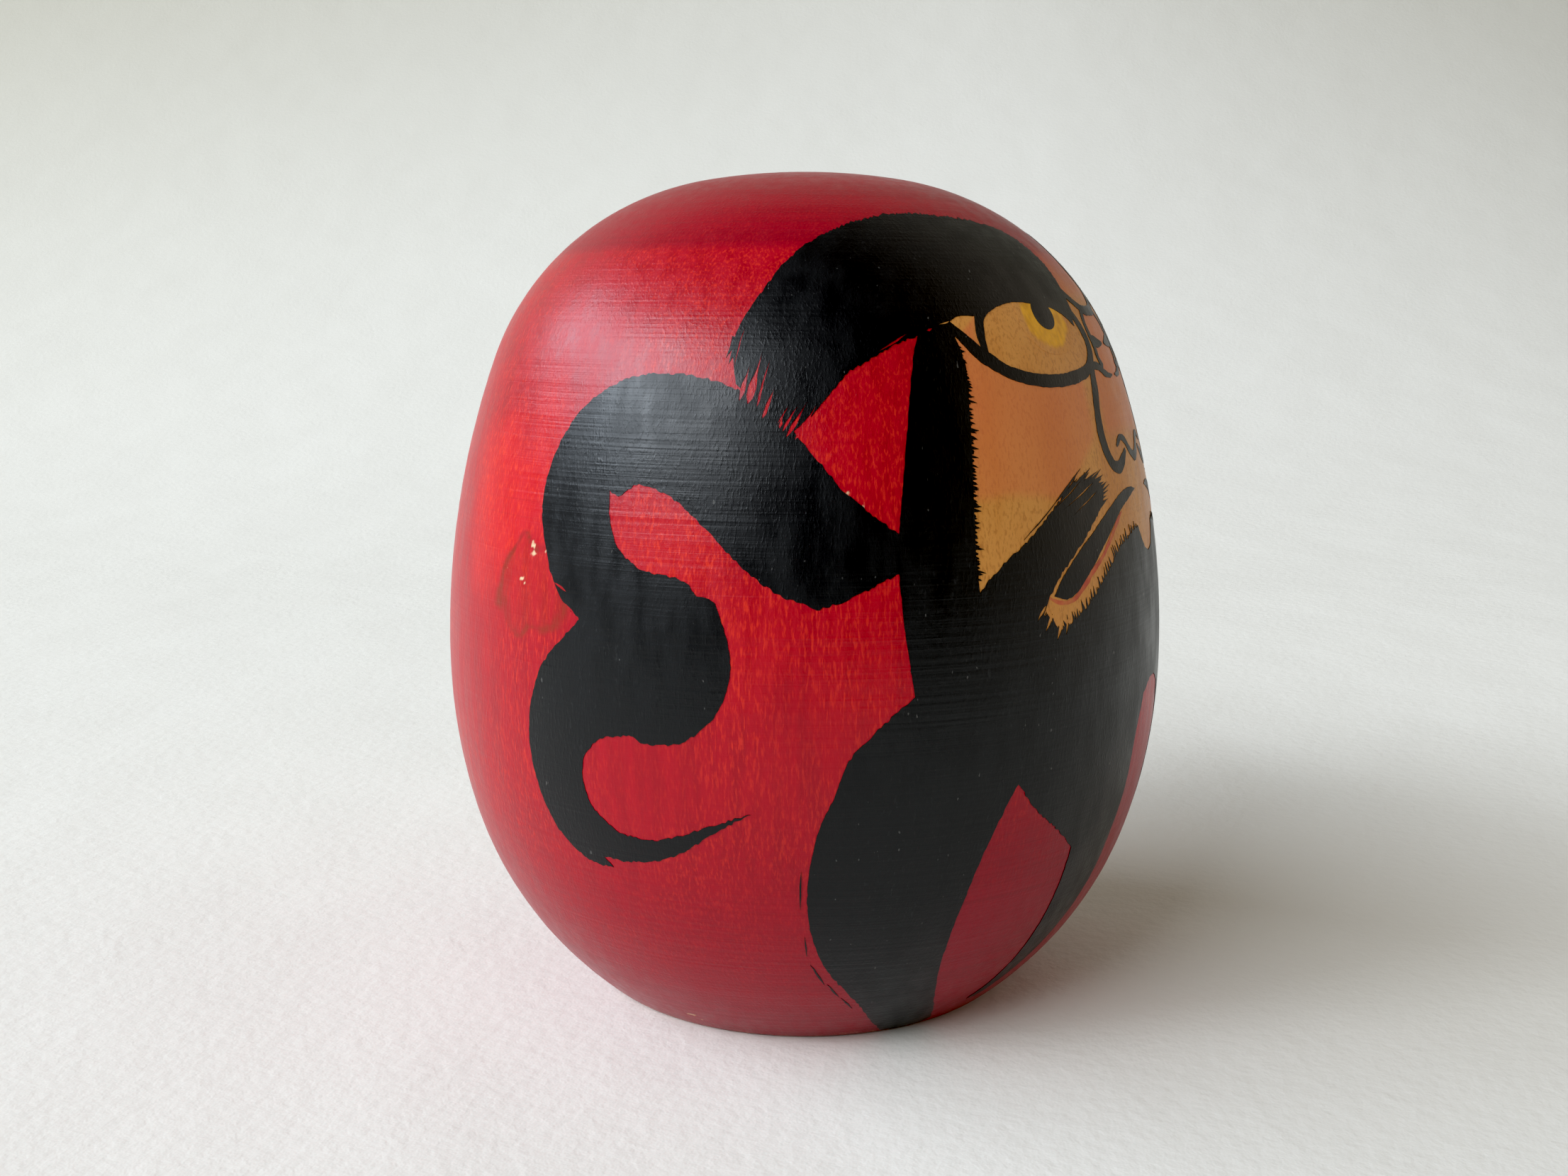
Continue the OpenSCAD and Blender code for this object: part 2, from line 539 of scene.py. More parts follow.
def row_stations():
    """Places down the outline, spaced by arc length: radius, height, angle of the normal."""
    along = np.concatenate([[0], np.cumsum(np.hypot(*np.diff(OUTLINE[:, :2], axis=0).T))])
    first_row = 1.1
    stations = [first_row]
    end = along[-1]
    while stations[-1] < end:
        stations.append(stations[-1] + row_step(np.interp(stations[-1], along, OUTLINE[:, 1])))
    stations[-1] = end
    return [tuple(np.interp(s, along, OUTLINE[:, k]) for k in range(3)) for s in stations]


def bore_rows():
    """The hidden rows from the foot up into the seat of the plug and the bore: radius, height."""
    lip = 0.3
    rows = [(24.0, 0.0), (SEAT_RADIUS + lip, 0.0), (SEAT_RADIUS, lip), (SEAT_RADIUS, 4.5)]
    rows += [(SEAT_RADIUS, SEAT_DEPTH), (BORE_RADIUS, SEAT_DEPTH)]
    dome = BORE_TOP - BORE_RADIUS
    rows += [(BORE_RADIUS, z) for z in np.linspace(SEAT_DEPTH, dome, 6)[1:]]
    dome_rows = 9
    for i in range(1, dome_rows):
        angle = 90 * i / dome_rows
        rows.append((BORE_RADIUS * cosd(angle), dome + BORE_RADIUS * sind(angle)))
    return rows


def relief(u, z, depth):
    """How far the surface stands out: waves from the lathe, the turned ring, and the chips."""
    turned = 0.012 * ripple(z * 0.9, 5) + 0.010 * ripple_2d(u * 0.08, z * 0.12, 6)
    groove = 0.008 * np.exp(-(((z - RING_HEIGHT) / 0.5) ** 2))
    push = (turned - 0.024) * smooth_step(0.5, 3.0, z) * (1 - smooth_step(HEIGHT - 2.0, HEIGHT, z))
    return push - depth - groove


def build_body(material):
    """The turned block, closed, with its bore: one mesh with all its relief and its masks."""
    columns = column_angles()
    outer = np.array(row_stations())
    inner = np.array(bore_rows())
    u, z = np.meshgrid(columns, outer[:, 1])
    radius = np.repeat(outer[:, :1], len(columns), 1)
    tilt = np.radians(np.repeat(outer[:, 2:], len(columns), 1))
    worn, depth = chip_masks(u, z)
    push = relief(u, z, depth)
    shell = turned_points(radius + push * np.sin(tilt), u, z + push * np.cos(tilt)).reshape(-1, 3)
    bore_u, bore_z = np.meshgrid(columns, inner[:, 1])
    bore = turned_points(np.repeat(inner[:, :1], len(columns), 1), bore_u, bore_z).reshape(-1, 3)
    points = np.concatenate([[(0, 0, HEIGHT)], shell, bore, [(0, 0, BORE_TOP)]]) * MM
    faces = turned_faces(len(outer) + len(inner), len(columns))
    body = mesh_object("painted_block", points, faces, material)
    hidden = np.zeros(len(bore) + 1)

    def keep(name, values, top, below):
        """Stores a mask, with its value on the crown's middle point and on the hidden rows."""
        store(body.data, name, np.concatenate([[top], values.ravel(), hidden + below]))

    foot_wear = 0.425 * (1 - smooth_step(0.25, 1.1, z + 0.5 * ripple_2d(u * 0.2, z, 8)))
    keep("bare", face_mask(u, z), 0.0, 1.0)
    keep("blush", blush_mask(u, z), 0.0, 0.0)
    # The deeper dye above the ring, with painted shade towards the foot and low on the front
    keep("deep", dye_depth_and_shade(u, z), 1.0, 0.0)
    keep("thin", thin_dye(u, z), 0.0, 0.0)
    keep("rust", rust_mask(u, z), 0.0, 0.0)
    keep("worn", np.maximum(worn, foot_wear), 0.0, 0.8)
    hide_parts("body")


# ---------------- brush work

# The ink is laid out flat: u is turned into millimetres at the widest part of the block
FLAT = math.radians(1.0) * WIDTH / 2
# How far the top of the ink and of the paint stand above the wood, and their undersides below it
INK_TOP, INK_UNDER = 0.030, -0.040
PAINT_TOP = 0.008
# How far apart the wood's fibres are, which make the edges of the ink uneven
FIBRE_PITCH = 0.34
# Points closer than this are joined when the ink is cut into triangles
JOIN_DISTANCE = 1e-4


def curve(points, step=0.17):
    """A smooth line through the given (u, z) points, as flat points in millimetres.

    It is a centripetal Catmull-Rom spline, which has no loops between uneven points.
    """
    p = np.array(points, float) * (FLAT, 1.0)
    if len(p) == 2:
        p = np.array([p[0], (p[0] + p[1]) / 2, p[1]])
    p = np.concatenate([[2 * p[0] - p[1]], p, [2 * p[-1] - p[-2]]])
    out = []
    for a, b, c, d in zip(p, p[1:], p[2:], p[3:]):
        ta = max(np.linalg.norm(b - a), 1e-6) ** 0.5
        tb = ta + max(np.linalg.norm(c - b), 1e-6) ** 0.5
        tc = tb + max(np.linalg.norm(d - c), 1e-6) ** 0.5
        count = max(1, round(np.linalg.norm(c - b) / step))
        for i in range(count):
            t = ta + (tb - ta) * i / count
            ab = a + (b - a) * (t / ta)
            bc = b + (c - b) * ((t - ta) / (tb - ta))
            cd = c + (d - c) * ((t - tb) / (tc - tb))
            abc = ab + (bc - ab) * (t / tb)
            bcd = bc + (cd - bc) * ((t - ta) / (tc - ta))
            out.append(abc + (bcd - abc) * ((t - ta) / (tb - ta)))
    return np.array(out)


def outline_of(*runs, rough=0.15, seed=1):
    """A closed shape from smooth runs that meet at corners. The grain makes its edge uneven."""
    line = np.concatenate([curve(run) for run in runs])
    column = line[:, 0] / FIBRE_PITCH
    jag = ripple(column + 0.35 * ripple(line[:, 1] / 1.2, seed), seed)
    swell = ripple_2d(line[:, 0] / 2.1, line[:, 1] / 2.1, seed + 1)
    line[:, 1] += rough * jag + 0.35 * rough * swell
    line[:, 0] += 0.35 * rough * ripple(line[:, 1] / 0.5, seed + 2)
    return line


def stroke(points, rough=0.05, seed=1):
    """A brush stroke along (u, z, width) points, with the width in millimetres."""
    points = np.array(points, float)
    middle = curve(points[:, :2], 0.25)
    far = np.concatenate([[0], np.cumsum(np.hypot(*np.diff(middle, axis=0).T))])
    marks = points[:, :2] * (FLAT, 1.0)
    nearest = [int(np.argmin(np.hypot(*(middle - m).T))) for m in marks]
    nearest = np.maximum.accumulate(nearest)
    half = np.interp(far, far[nearest] + np.arange(len(nearest)) * 1e-6, points[:, 2] / 2)
    along = np.gradient(middle, axis=0)
    across = np.stack([-along[:, 1], along[:, 0]], 1) / np.linalg.norm(along, axis=1)[:, None]
    left = middle + across * (half + rough * ripple(far / 0.5, seed))[:, None]
    right = middle - across * (half + rough * ripple(far / 0.5, seed + 1))[:, None]
    return np.concatenate([left, right[::-1]])


def oval(u, z, half_u, half_z):
    turn = np.radians(np.arange(0, 360, 6))
    return np.stack([(u + half_u * np.cos(turn)) * FLAT, z + half_z * np.sin(turn)], 1)


def hairs(points, reach, gap, length, width, seed):
    """Single hair marks along a line. reach is the (u, z) direction in flat millimetres."""
    line = curve(points, 0.1)
    far = np.concatenate([[0], np.cumsum(np.hypot(*np.diff(line, axis=0).T))])
    count = max(1, int(far[-1] / gap))
    shapes = []
    for i in range(count):
        shift, long, wide, lean = hashed(np.arange(4) + 7 * i, seed)
        at = (i + shift) * gap
        base = np.array([np.interp(at, far, line[:, k]) for k in (0, 1)])
        way = np.array(reach, float)
        way = way / np.linalg.norm(way)
        side = np.array([-way[1], way[0]])
        size = length * (0.25 + 1.15 * long ** 1.4)
        half = width * (0.35 + 0.3 * wide)
        bend = side * (lean - 0.5) * 0.35 * size
        root = base - way * 0.45
        shapes.append(np.array([
            root + side * half,
            base + way * size * 0.45 + side * half * 0.5 + bend * 0.3,
            base + way * size + bend,
            base + way * size * 0.45 - side * half * 0.5 + bend * 0.3,
            root - side * half,
        ]))
    return shapes


def sliver(start, end, width, widest=0.5, seed=1):
    """A thin streak from (u, z) to (u, z), pointed at both ends. widest is from 0 to 1 along it."""
    a = np.array(start, float) * (FLAT, 1.0)
    b = np.array(end, float) * (FLAT, 1.0)
    along = b - a
    side = np.array([-along[1], along[0]]) / np.linalg.norm(along)
    t = np.linspace(0, 1, max(6, int(np.linalg.norm(along) / 0.3)))
    shape = np.sin(np.pi * t ** (math.log(0.5) / math.log(widest)))
    half = width / 2 * shape * (1 + 0.25 * ripple(t * len(t) * 0.5, seed))
    middle = a + along * t[:, None] + side * 0.05 * ripple(t * 5, seed + 1)[:, None]
    return np.concatenate([middle + side * half[:, None], (middle - side * half[:, None])[::-1][1:-1]])


def counter_clockwise(shape):
    x, y = shape[:, 0], shape[:, 1]
    area = np.sum(x * np.roll(y, -1) - np.roll(x, -1) * y)
    return shape if area > 0 else shape[::-1]


def flipped(shape):
    return shape * (-1.0, 1.0)


def grid_points(shape, pitch):
    """Points in the box round a flat shape, just off its corners, to keep its triangles small."""
    low, high = shape.min(0), shape.max(0)
    return [
        (x + 0.003, y + 0.002)
        for y in np.arange(low[1], high[1], pitch)
        for x in np.arange(low[0], high[0], pitch)
    ]


def staggered_points():
    """Points in staggered rows all over the painted field, to keep the ink's triangles small."""
    pitch, row_share = 1.4, 0.87
    half_width, top = 87.0, 98.0
    return [
        (x, y)
        for i, y in enumerate(np.arange(pitch / 2, top, pitch * row_share))
        for x in np.arange(-half_width + (i % 2) * pitch / 2, half_width, pitch)
    ]


def triangulate(outlines, fill):
    """The points, and each triangle inside closed flat outlines with the outlines it lies in."""
    points, faces = [], []
    for line in outlines:
        faces.append(list(range(len(points), len(points) + len(line))))
        points.extend(line.tolist())
    points.extend(fill)
    result = delaunay_2d_cdt([Vector(p) for p in points], [], faces, 1, JOIN_DISTANCE, True)
    verts = np.array([(v.x, v.y) for v in result[0]])
    inside = [(tuple(t), sorted(set(origin))) for t, origin in zip(result[2], result[5]) if origin]
    return verts, inside


def film(name, points, triangles, top, under, material):
    """A closed thin film on the painted surface, from flat points and flat triangles."""
    used = sorted({i for t in triangles for i in t})
    place = {old: new for new, old in enumerate(used)}
    flat = points[used]
    u, z = flat[:, 0] / FLAT, flat[:, 1]
    z = np.clip(z, 0.05, HEIGHT - 0.2)
    upper, lower = surface(u, z, top), surface(u, z, under)
    count = len(used)
    faces, owner = [], {}
    for t in triangles:
        a, b, c = (place[i] for i in t)
        faces.append((a, c, b))
        faces.append((a + count, b + count, c + count))
        for edge in ((a, b), (b, c), (c, a)):
            owner[edge] = owner.get(edge, 0) + 1
    rim = [e for e in owner if (e[1], e[0]) not in owner]
    faces += [(a, b, b + count, a + count) for a, b in rim]
    obj = mesh_object(name, np.concatenate([upper, lower]), faces, material)
    mesh = obj.data
    rim_keys = {tuple(sorted(e)) for e in rim}
    rim_keys |= {(a + count, b + count) for a, b in rim_keys}
    keys = np.array([tuple(sorted(e.vertices)) in rim_keys for e in mesh.edges])
    sharp = mesh.attributes.new("sharp_edge", "BOOLEAN", "EDGE")
    sharp.data.foreach_set("value", keys)
    return obj


def lay_ink(shapes, gaps, material):
    """Turns named flat shapes into ink films that share their edges and never overlap.

    A place that two shapes cover belongs to the shape that comes first.
    """
    outlines = [(name, counter_clockwise(s)) for name, s in shapes]
    outlines += [(None, counter_clockwise(s)) for s in gaps]
    verts, inside = triangulate([line for _, line in outlines], staggered_points())
    grouped = {}
    for triangle, owners in inside:
        names = [outlines[i][0] for i in owners]
        if None not in names:
            grouped.setdefault(names[0], []).append(triangle)
    for name, triangles in grouped.items():
        film(name, verts, triangles, INK_TOP, INK_UNDER, material)


def lay_pupils(shapes, opening, material):
    """The pupils, cut off by the upper rim of the eye."""
    for name, shape in shapes:
        side = flipped(opening) if name.endswith("right") else opening
        disc = counter_clockwise(shape)
        verts, inside = triangulate([disc, counter_clockwise(side)], grid_points(disc, 0.6))
        kept = [triangle for triangle, owners in inside if len(owners) == 2]
        film(name, verts, kept, INK_TOP, INK_UNDER, material)


def paint_patch(name, outline, strength, material, slot):
    """A patch of thin colour. strength(u, z) says how thick the colour is at each point."""
    shape = counter_clockwise(outline)
    verts, inside = triangulate([shape], grid_points(shape, 0.22))
    kept = [triangle for triangle, _ in inside]
    obj = film(name, verts, kept, PAINT_TOP, INK_UNDER, material)
    used = sorted({i for t in kept for i in t})
    u, z = verts[used, 0] / FLAT, verts[used, 1]
    values = strength(np.abs(u), z)
    store(obj.data, "paint", np.concatenate([values, values]))


# ---------------- the painted shapes

def curl_shape():
    """The big S-shaped lock of hair on the flank."""
    return outline_of(
        [(50, 60.2), (54.1, 62.1), (59.9, 65.2), (66.2, 70.2), (72, 74.6), (79.5, 76.9),
         (87, 77.9), (95, 77.3), (101.3, 75.1), (106.5, 70.3), (108.3, 64.6),
         (106.7, 59.6), (102.9, 54.2), (99.2, 52.2)],
        [(99.2, 52.1), (102.5, 49.5), (106.2, 46.3), (108.4, 42.0), (109.1, 37.5),
         (107.9, 32.1), (104.8, 27.5), (100.5, 25.1), (95.6, 24.5)],
        [(95.6, 24.5), (97.0, 25.7)],
        [(97.0, 25.7), (92.5, 25.8), (86.3, 26.9), (82.1, 28.8), (78.3, 30.8), (74.0, 32.9)],
        [(74.0, 32.9), (81.7, 30.5), (88.3, 28.9), (94.2, 29.4), (98.3, 32.5),
         (98.6, 37.0), (95, 39.8), (90.2, 40.4)],
        [(90.2, 40.4), (89.2, 39.8)],
        [(89.2, 39.8), (84.2, 40.0), (79.6, 42.3), (76.8, 46.6), (76.9, 50.8), (78.8, 55.0)],
        [(78.8, 55.0), (81.8, 55.9), (82.6, 56.9), (87.5, 57.7), (90.4, 58.2),
         (93.8, 60.4), (95.2, 63.0), (95.7, 65.7)],
        [(95.7, 65.7), (94.3, 65.2)],
        [(94.3, 65.2), (91, 66.5), (85.8, 65.4), (80.4, 62.3), (75.8, 59.0), (70.8, 56.2),
         (64.9, 54.5)],
        [(64.9, 54.5), (59.5, 56.0), (54.3, 58.0), (50, 58.8)],
        seed=4,
    )


def brow_shape():
    """The broad eyebrow. Its tail runs down to the lock of hair."""
    return outline_of(
        [(77.4, 76.8), (78.0, 79.0), (78.4, 80.8), (77.0, 83.6), (74.5, 86.3), (69.5, 90.1), (62, 92.7),
         (52, 94.3), (42, 94.9), (32, 94.7), (22, 94.3), (14.5, 93.4), (10.2, 92.2),
         (7.6, 89.9), (7.8, 87.8), (9.0, 85.2), (9.8, 83.4)],
        [(9.8, 83.4), (14, 83.7), (20, 84.6), (26, 85.1), (33, 84.0), (37, 83.6), (43, 82.6)],
        [(43, 82.6), (44, 80.5), (47, 80.5), (48.8, 81.8)],
        [(48.8, 81.8), (52.8, 80.9), (57, 79.4), (60.3, 78.3)],
        [(60.3, 78.3), (62.6, 76.6), (64.6, 74.9), (67.4, 72.9), (69.6, 71.6)],
        [(69.6, 71.6), (72.0, 74.0), (74.6, 75.4), (77.4, 76.8)],
        seed=9,
    )


def beard_shape():
    """The sideburn, the moustache and the beard, which are one field of ink."""
    return outline_of(
        [(46.5, 84.5), (48.8, 81.7), (50.3, 78.7), (52.0, 72.3), (53.5, 65.1), (54.3, 60.0),
         (54.0, 55.4), (53.2, 50.0), (52.2, 45.3)],
        [(52.2, 45.3), (57.6, 41.7), (61.0, 38.7), (62.8, 34.8), (64.9, 30.8), (66.2, 25.2),
         (66.0, 20.0), (64.0, 14.6), (61.6, 11.8), (57.0, 7.8), (52.2, 3.6), (47.2, 0.4)],
        [(47.2, 0.4), (41.0, 0.15), (36.0, 0.4), (34.6, 1.2), (36.2, 2.6)],
        [(36.2, 2.6), (40.1, 6.7), (42.6, 11.7), (42.9, 17.5), (41.7, 22.9), (39.6, 28.4),
         (35.9, 34.6)],
        [(35.9, 34.6), (32.0, 31.1), (27.0, 28.0), (21.8, 24.8)],
        [(21.8, 24.8), (22.0, 17.0), (22.8, 10.5), (24.8, 6.1), (27.6, 3.6)],
        [(27.6, 3.6), (24.6, 3.7), (19.0, 6.6), (13.6, 11.8), (10.4, 17.5), (8.9, 23.6),
         (7.4, 29.1), (6.9, 35.8), (4.8, 40.4)],
        [(4.8, 40.4), (2.0, 41.6), (-1.0, 42.0)],
        [(-1.0, 42.0), (-1.0, 56.9)],
        [(-1.0, 56.9), (0.5, 56.7), (2.6, 57.6), (4.8, 60.1)],
        [(4.8, 60.1), (8.1, 59.5), (13.1, 58.1), (18.5, 55.1), (24.6, 52.0), (28.1, 50.9),
         (30.0, 51.2), (32.0, 52.6)],
        [(32.0, 52.6), (30.9, 54.4)],
        [(30.9, 54.4), (28.5, 56.4), (24.6, 58.8), (20.0, 61.4), (16.7, 63.4)],
        [(16.7, 63.4), (16.0, 64.8), (17.6, 66.0), (21.6, 66.2)],
        [(21.6, 66.2), (24.6, 65.5), (29.6, 63.0), (35.4, 59.9), (39.6, 57.8), (42.6, 55.7)],
        [(42.6, 55.7), (42.9, 60.0), (42.5, 66.5), (41.7, 73.8), (41.2, 78.5), (42.2, 82.0),
         (43.5, 84.5)],
        seed=14,
    )


def line_shapes():
    """The brushed lines of the eye, the frown, the nose and the mouth."""
    # Each line is (piece, seed, points)
    lines = (
        # The lower lid and the upper rim of the eye
        ("eye_line", 3, [(43.8, 83.2, 0.9), (41.2, 81.9, 1.3), (38.0, 79.9, 1.6), (33.5, 78.2, 1.5),
             (28.5, 77.2, 1.35), (22.5, 76.9, 1.4), (17.0, 77.2, 1.35), (12.6, 77.9, 1.3),
             (9.4, 79.4, 1.35), (8.6, 81.2, 1.5), (9.2, 83.0, 1.6), (10.6, 84.6, 1.4)]),
        ("eye_line", 5, [(37.0, 79.6, 1.2), (37.1, 81.2, 1.2), (36.6, 83.0, 1.5), (35.0, 84.6, 1.4)]),
        ("eye_line", 6, [(35.0, 84.6, 1.2), (30.0, 85.7, 1.4), (22.0, 86.0, 1.6), (15.0, 84.9, 1.6),
             (10.6, 83.3, 1.6)]),
        # The lines of the frown, between the brows
        ("frown", 8, [(9.0, 86.6, 1.2), (6.6, 85.6, 1.0), (3.6, 84.6, 1.2), (0.0, 84.4, 1.1),
             (-1.0, 84.4, 1.1)]),
        ("frown", 9, [(4.4, 84.5, 0.9), (6.0, 83.2, 0.85), (6.2, 81.9, 1.2), (6.0, 80.4, 1.1),
             (6.2, 79.2, 0.9), (4.8, 77.9, 0.9)]),
        ("frown", 10, [(6.4, 81.2, 1.2), (4.2, 80.9, 1.3), (2.2, 80.75, 0.8), (0.5, 80.7, 0.25)]),
        ("frown", 11, [(10.0, 78.3, 0.9), (7.6, 78.2, 0.9), (5.4, 77.5, 0.95), (3.0, 77.1, 0.6),
             (0.7, 77.15, 0.2)]),
        # The side of the nose and the nostril
        ("nose_line", 12, [(10.3, 78.4, 1.3), (11.3, 76.2, 1.6), (12.6, 73.6, 1.5), (13.2, 71.0, 1.7),
             (12.6, 68.9, 1.6), (10.9, 67.3, 1.4), (8.7, 67.0, 1.4), (6.6, 67.8, 1.2),
             (4.4, 68.9, 0.5)]),
        ("nostril", 13, [(8.3, 69.3, 0.3), (7.4, 69.7, 0.7), (5.8, 70.2, 0.65), (4.1, 69.8, 0.9),
             (2.4, 68.6, 1.1), (0.6, 67.9, 1.1), (-1.0, 67.7, 1.1)]),
    )
    mouth = outline_of(
        [(29.9, 54.4), (28.1, 56.2), (25.0, 58.2), (20.4, 60.5), (14.2, 63.0),
         (9.6, 64.3), (6.2, 64.6), (3.6, 64.3)],
        [(3.6, 64.3), (7.3, 63.4), (11.2, 62.3), (16.5, 59.6), (21.2, 56.8),
         (23.1, 55.6), (25.0, 54.5), (27.3, 53.9), (29.9, 54.4)],
        rough=0.05, seed=21,
    )
    return [(name, stroke(points, seed=seed)) for name, seed, points in lines] + [("mouth", mouth)]


def beard_hairs():
    """The fringes of the sideburn, the mouth and the moustache, and the beard's dry edge."""
    # Each fringe is (line, reach, gap, length, width, seed)
    fringes = (
        ([(42.0, 81.0), (41.3, 78.0), (41.7, 73.8), (42.2, 69.1), (42.8, 62), (42.7, 56.6)],
         (-1.0, -0.20), 0.36, 0.80, 0.46, 31),
        ([(31.8, 52.4), (29.4, 50.9), (26.2, 51.1), (22.3, 52.9), (18.5, 55.0), (13.1, 58.0),
          (8.1, 59.3), (5.2, 59.9)], (0.35, 1.0), 0.36, 1.15, 0.46, 32),
        ([(17.2, 63.2), (16.8, 64.4), (17.2, 65.6), (19.0, 66.1)], (-1.0, 0.35), 0.26, 2.0, 0.42, 33),
        ([(19.5, 66.0), (22.5, 66.0), (26.5, 64.8)], (-1.0, 0.62), 0.5, 1.7, 0.34, 37),
    )
    bristles = (
        ((28.0, 64.2), (21.2, 67.5), 0.30),
        ((25.5, 65.0), (18.6, 67.4), 0.40),
        ((24.0, 65.2), (16.6, 67.0), 0.34),
        ((22.6, 64.9), (15.2, 66.5), 0.42),
        ((21.5, 64.4), (14.4, 65.7), 0.38),
        ((20.4, 63.6), (14.3, 64.8), 0.40),
        ((19.8, 62.8), (14.8, 63.9), 0.30),
    )
    dry_lines = (
        ((67.2, 26.4), (67.3, 21.6), 0.22),
        ((66.6, 18.0), (66.2, 15.2), 0.16),
        ((65.6, 14.0), (63.0, 10.8), 0.26),
        ((62.6, 10.9), (60.2, 8.6), 0.22),
        ((59.8, 8.5), (57.2, 6.4), 0.20),
        ((34.8, 60.7), (27.2, 64.6), 0.12),
    )
    shapes = [hair for fringe in fringes for hair in hairs(*fringe)]
    for i, (start, end, width) in enumerate(bristles):
        shapes.append(sliver(start, end, width, widest=0.35, seed=90 + i))
    for i, (start, end, width) in enumerate(dry_lines):
        shapes.append(sliver(start, end, width, seed=80 + i))
    return [("beard", shape) for shape in shapes]


def brow_hairs():
    """The fringes of the brow: under its middle, at its tail, and at its inner end."""
    fringes = (
        ([(57.0, 79.6), (60.6, 78.3), (62.6, 76.8), (65.0, 74.8)], (0.75, -1.0), 0.5, 0.5, 0.4, 34),
        ([(78.4, 81.6), (78.2, 79.4)], (0.3, -1.0), 0.45, 1.6, 0.5, 36),
        ([(8.0, 87.4), (7.6, 89.6), (9.6, 91.9), (13.0, 93.2), (18, 93.9)],
         (-1.0, 0.35), 0.4, 0.35, 0.4, 35),
    )
    return [("brow", hair) for fringe in fringes for hair in hairs(*fringe)]


def ink_shapes():
    """Named flat shapes of the seen half. The other half is their mirror image."""
    fields = [("brow", brow_shape()), ("curl", curl_shape()), ("beard", beard_shape())]
    return fields + line_shapes() + beard_hairs() + brow_hairs()


def eye_opening():
    """The eyeball, between its lids."""
    return outline_of(
        [(36.2, 81.4), (35.6, 83.3), (32.4, 84.6), (27.0, 85.3), (21.9, 85.1), (16.5, 84.6),
         (12.4, 83.3), (10.1, 80.9)],
        [(10.1, 80.9), (11.0, 79.2), (13.6, 78.3), (21.9, 77.8), (28.5, 78.0), (33.4, 78.8),
         (35.6, 80.0), (36.2, 81.4)],
        rough=0.03, seed=41,
    )


def ink_gaps():
    """Places inside the ink that stay free: the eyeball, its corner, and dry-brush streaks."""
    corner = outline_of(
        [(42.4, 83.2), (40.6, 83.8), (37.2, 83.8)],
        [(37.2, 83.8), (37.9, 82.2), (37.6, 80.6)],
        [(37.6, 80.6), (39.6, 81.8), (42.4, 83.2)],
        rough=0.03, seed=42,
    )
    gaps = [eye_opening(), corner]
    # From start to end, with a width, and where along it the streak is widest
    streaks = (
        ((73.1, 81.4), (75.4, 74.9), 1.00, 0.80),
        ((75.2, 79.4), (76.7, 75.2), 0.62, 0.75),
        ((72.2, 79.6), (73.9, 75.6), 0.22, 0.60),
        ((71.4, 76.8), (73.1, 73.5), 0.50, 0.70),
        ((72.9, 77.4), (74.1, 74.6), 0.30, 0.70),
        ((70.2, 73.8), (70.6, 72.5), 0.30, 0.60),
        ((66.1, 75.9), (69.6, 71.6), 0.44, 0.75),
        ((67.6, 75.3), (70.2, 72.2), 0.30, 0.70),
        ((64.6, 75.6), (68.4, 71.4), 0.40, 0.75),
        ((69.2, 75.0), (70.9, 72.9), 0.16, 0.60),
        ((76.6, 83.2), (77.9, 78.6), 0.16, 0.60),
        ((50.4, 82.0), (55.6, 80.2), 0.20, 0.50),
        ((101.7, 54.9), (104.3, 55.7), 0.30, 0.50),
        ((99.4, 52.3), (102.4, 53.8), 0.22, 0.50),
        ((45.9, 82.5), (46.9, 82.3), 0.25, 0.50),
        ((42.4, 83.3), (44.6, 82.9), 0.14, 0.40),
        ((35.6, 60.5), (27.0, 64.85), 0.10, 0.50),
        ((29.5, 63.2), (21.4, 66.3), 0.13, 0.60),
        # The bare wood runs out in points below the corner of the mouth
        ((28.4, 52.0), (29.7, 49.7), 0.50, 0.30),
        ((27.3, 52.0), (27.9, 50.0), 0.34, 0.30),
        ((30.3, 52.6), (31.9, 50.8), 0.44, 0.30),
        ((31.5, 53.6), (33.4, 52.0), 0.34, 0.30),
        ((27.0, 63.2), (18.4, 65.9), 0.15, 0.65),
        ((25.0, 62.5), (17.6, 64.9), 0.13, 0.65),
    )
    for i, (start, end, width, widest) in enumerate(streaks):
        gaps.append(sliver(start, end, width, widest, seed=50 + i))
    return gaps


def both_sides(shapes):
    """Named shapes of the seen half, with their mirror images, as the left and the right ones."""
    left = [(name + "_left", shape) for name, shape in shapes]
    return left + [(name + "_right", flipped(shape)) for name, shape in shapes]


def build_ink(material):
    gaps = ink_gaps()
    lay_ink(both_sides(ink_shapes()), gaps + [flipped(g) for g in gaps], material)
    pupil = oval(20.3, 84.1, 2.85, 1.75)
    lay_pupils(both_sides([("pupil", pupil)]), eye_opening(), material)


def iris_strength(u, z):
    reach = np.hypot((u - 20.2) / 6.2, (z - 83.7) / 3.35)
    reach = reach + 0.05 * ripple_2d(u * 1.6, z * 1.4, 61)
    return 1 - smooth_step(0.86, 1.04, reach)


def lip_strength(u, z):
    return np.clip(0.8 + 0.3 * ripple_2d(u * 0.9, z * 1.3, 62), 0, 1)


